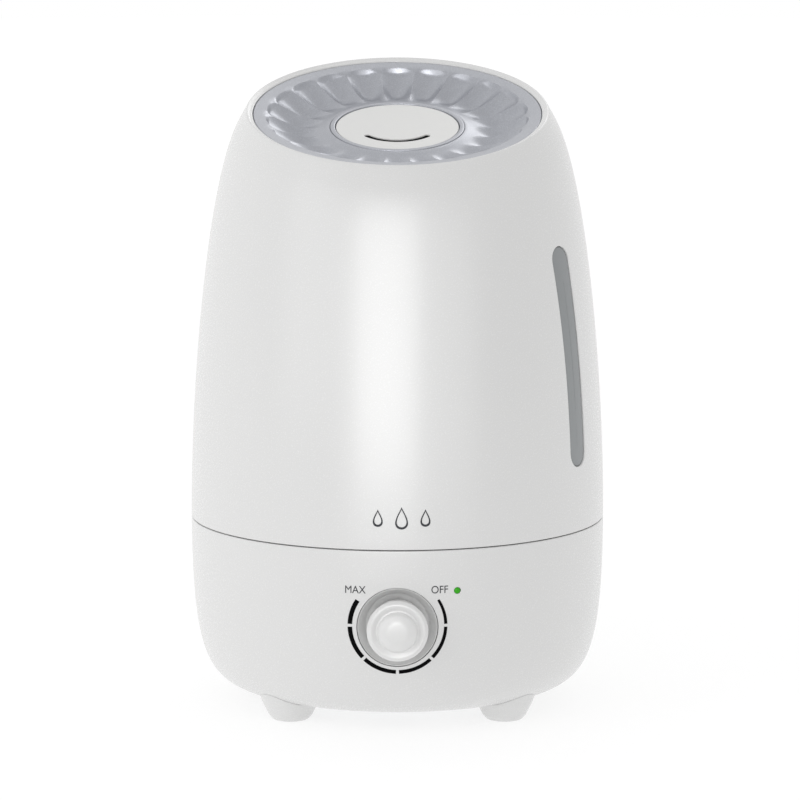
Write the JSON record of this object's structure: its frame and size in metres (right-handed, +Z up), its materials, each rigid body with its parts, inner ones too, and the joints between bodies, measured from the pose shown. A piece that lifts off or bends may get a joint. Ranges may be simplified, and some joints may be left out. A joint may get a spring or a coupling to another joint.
{
  "type": "cool mist humidifier",
  "caption": "Table humidifier: slant-topped lift-off water tank with fluted ring and turning mist outlet on a round base with a dial, level window and four feet.",
  "frame": {"origin": "on the surface it stands on, under the middle of its outline in plan", "axes": "+Z up, -Y is the front with the dial, +X is the side with the level window"},
  "size_m": [0.21, 0.2236, 0.3233],
  "materials": {
    "white_abs": "glossy moulded white ABS",
    "inner_abs": "satin moulded light grey ABS",
    "silver_paint": "satin silver-grey painted ABS",
    "smoke_clear": "smoke-grey clear polycarbonate",
    "disc_white": "satin moulded off-white ABS",
    "black_rubber": "matt black rubber",
    "silicone": "translucent white silicone rubber",
    "steel": "zinc plated or stainless steel",
    "transducer_plating": "plated piezo-ceramic disc",
    "circuit_board": "green solder-masked fibreglass board",
    "black_plastic": "black glass-filled plastic",
    "aluminium": "plain extruded aluminium",
    "green_lens": "clear green lamp lens",
    "filter_foam": "open-cell dust filter foam",
    "float_foam": "closed-cell float foam"
  },
  "bodies": {
    "base": {"base_casing": "white_abs", "foot_front_right": "white_abs", "foot_back_right": "white_abs", "foot_back_left": "white_abs", "foot_front_left": "white_abs", "foot_pad_front_right": "black_rubber", "foot_pad_back_right": "black_rubber", "foot_pad_back_left": "black_rubber", "foot_pad_front_left": "black_rubber", "bottom_cover": "inner_abs", "cover_screw_1": "steel", "cover_screw_2": "steel", "cover_screw_3": "steel", "cover_screw_4": "steel", "dust_filter": "filter_foam", "fan_frame": "black_plastic", "air_duct": "inner_abs", "water_basin": "inner_abs", "transducer_seal": "silicone", "transducer_disc": "transducer_plating", "transducer_clamp": "inner_abs", "clamp_screw_1": "steel", "clamp_screw_2": "steel", "driver_board": "circuit_board", "heat_sink": "aluminium", "power_board": "circuit_board", "transformer": "black_plastic", "smoothing_capacitor": "black_plastic", "reed_switch": "black_plastic", "dial_dish": "white_abs", "potentiometer": "steel", "dial_nut": "steel", "lamp_lens": "green_lens", "lamp_board": "circuit_board", "inlet_gland": "black_rubber"},
    "fan": {"fan_rotor": "black_plastic"},
    "dial": {"dial_knob": "white_abs", "dial_shaft": "steel"},
    "float": {"float_ring": "float_foam", "float_magnet": "steel"},
    "tank": {"tank_shell": "white_abs", "level_window": "smoke_clear", "tank_floor": "inner_abs", "mist_chimney": "inner_abs", "fluted_ring": "silver_paint", "ring_seal": "silicone", "chimney_seal": "silicone"},
    "cap": {"filler_cap": "white_abs", "filler_gasket": "silicone", "valve_spring": "steel"},
    "valve": {"valve_plunger": "inner_abs", "valve_seal": "silicone"},
    "nozzle": {"nozzle_collar": "silver_paint"},
    "outlet": {"nozzle_disc": "disc_white"}
  },
  "joints": [
    {"name": "fan_spin", "type": "hinge", "parent": "base", "child": "fan", "pos_m": [0, 0.02903, 0.0246], "axis": [0, 0, 1], "continuous": true},
    {"name": "dial_turn", "type": "hinge", "parent": "base", "child": "dial", "pos_m": [0, -0.0941, 0.0568], "axis": [0, 1, 0], "range_deg": [0, 246]},
    {"name": "float_rise", "type": "slide", "parent": "base", "child": "float", "axis": [0, 0, 1], "range_m": [0, 0.008]},
    {"name": "tank_lift", "type": "slide", "parent": "base", "child": "tank", "axis": [0, 0, 1], "range_m": [0, 0.1]},
    {"name": "cap_turn", "type": "hinge", "parent": "tank", "child": "cap", "pos_m": [-0.0585, 0.0059, 0.085], "axis": [0, 0, -1], "range_deg": [0, 90]},
    {"name": "valve_close", "type": "slide", "parent": "cap", "child": "valve", "axis": [0, 0, -1], "range_m": [0, 0.004], "deforming": ["valve_spring"]},
    {"name": "nozzle_lift", "type": "slide", "parent": "tank", "child": "nozzle", "axis": [0, -0.2957, 0.9553], "range_m": [0, 0.04]},
    {"name": "outlet_turn", "type": "hinge", "parent": "nozzle", "child": "outlet", "pos_m": [0, 0.00835, 0.29207], "axis": [0, -0.2957, 0.9553], "continuous": true}
  ],
  "couplings": [
    {"joint": "valve_close", "follows": "tank_lift", "ratio": 0.04}
  ]
}
